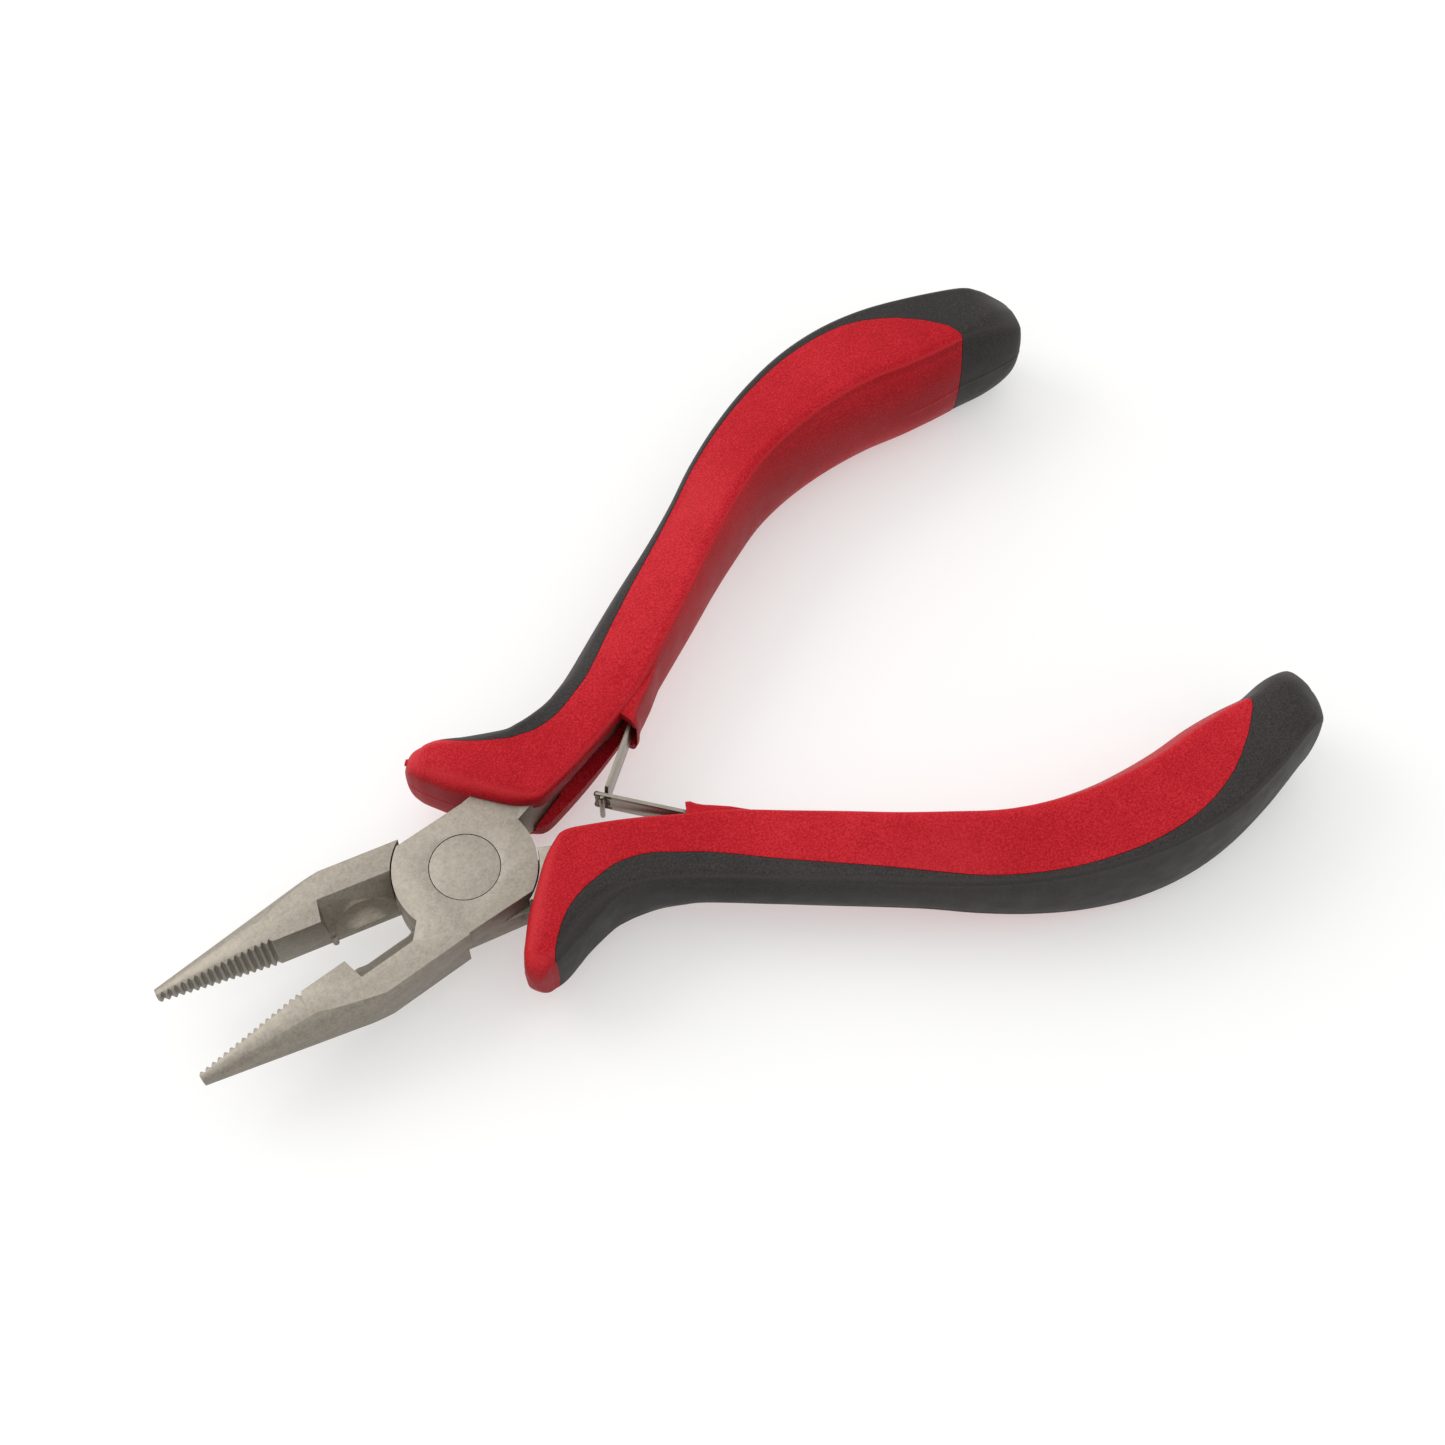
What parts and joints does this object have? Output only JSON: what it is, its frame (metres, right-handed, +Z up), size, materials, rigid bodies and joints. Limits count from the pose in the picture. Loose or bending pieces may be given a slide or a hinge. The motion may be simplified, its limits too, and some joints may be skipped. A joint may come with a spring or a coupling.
{
  "type": "jewellery pliers",
  "caption": "Small spring-opened lap-joint pliers with a serrated half-round long nose, a side cutter and two-colour moulded grips.",
  "frame": {"origin": "on the surface the tool lies on, under the middle of its length and width", "axes": "+X from the jaws to the handle ends along the bisector, +Y to the handle of the half with the upper lap, +Z up, parallel to the pivot axis"},
  "size_m": [0.1248, 0.0764, 0.0155],
  "materials": {
    "satin_steel": "fine satin",
    "spring_steel": "drawn, semi-bright",
    "grip_red": "satin, finely grained",
    "grip_black": "matt, finely grained"
  },
  "bodies": {
    "half_a": {"plier_half_a": "satin_steel", "joint_rivet": "satin_steel", "grip_core_a": "grip_red", "grip_pad_a": "grip_black", "spring_rivet_a": "spring_steel"},
    "half_b": {"plier_half_b": "satin_steel", "grip_core_b": "grip_red", "grip_pad_b": "grip_black", "spring_rivet_b": "spring_steel"},
    "leaf_a": {"leaf_spring_a": "spring_steel"},
    "leaf_b": {"leaf_spring_b": "spring_steel"}
  },
  "joints": [
    {"name": "main_pivot", "type": "hinge", "parent": "half_a", "child": "half_b", "pos_m": [-0.0281, -0.00017, 0.00777], "axis": [0, 0, 1], "range_deg": [0, 15.6], "stiffness_Nm_per_rad": 0.8},
    {"name": "leaf_a_flex", "type": "hinge", "parent": "half_a", "child": "leaf_a", "pos_m": [-0.0015, 0.00843, 0.00777], "axis": [0, 0, 1], "range_deg": [-11.7, 0]},
    {"name": "leaf_b_flex", "type": "hinge", "parent": "half_b", "child": "leaf_b", "pos_m": [-0.0015, -0.00877, 0.00777], "axis": [0, 0, 1], "range_deg": [0, 11.7]}
  ],
  "couplings": [
    {"joint": "leaf_a_flex", "follows": "main_pivot", "ratio": -0.7373},
    {"joint": "leaf_b_flex", "follows": "main_pivot", "ratio": 0.7373}
  ]
}
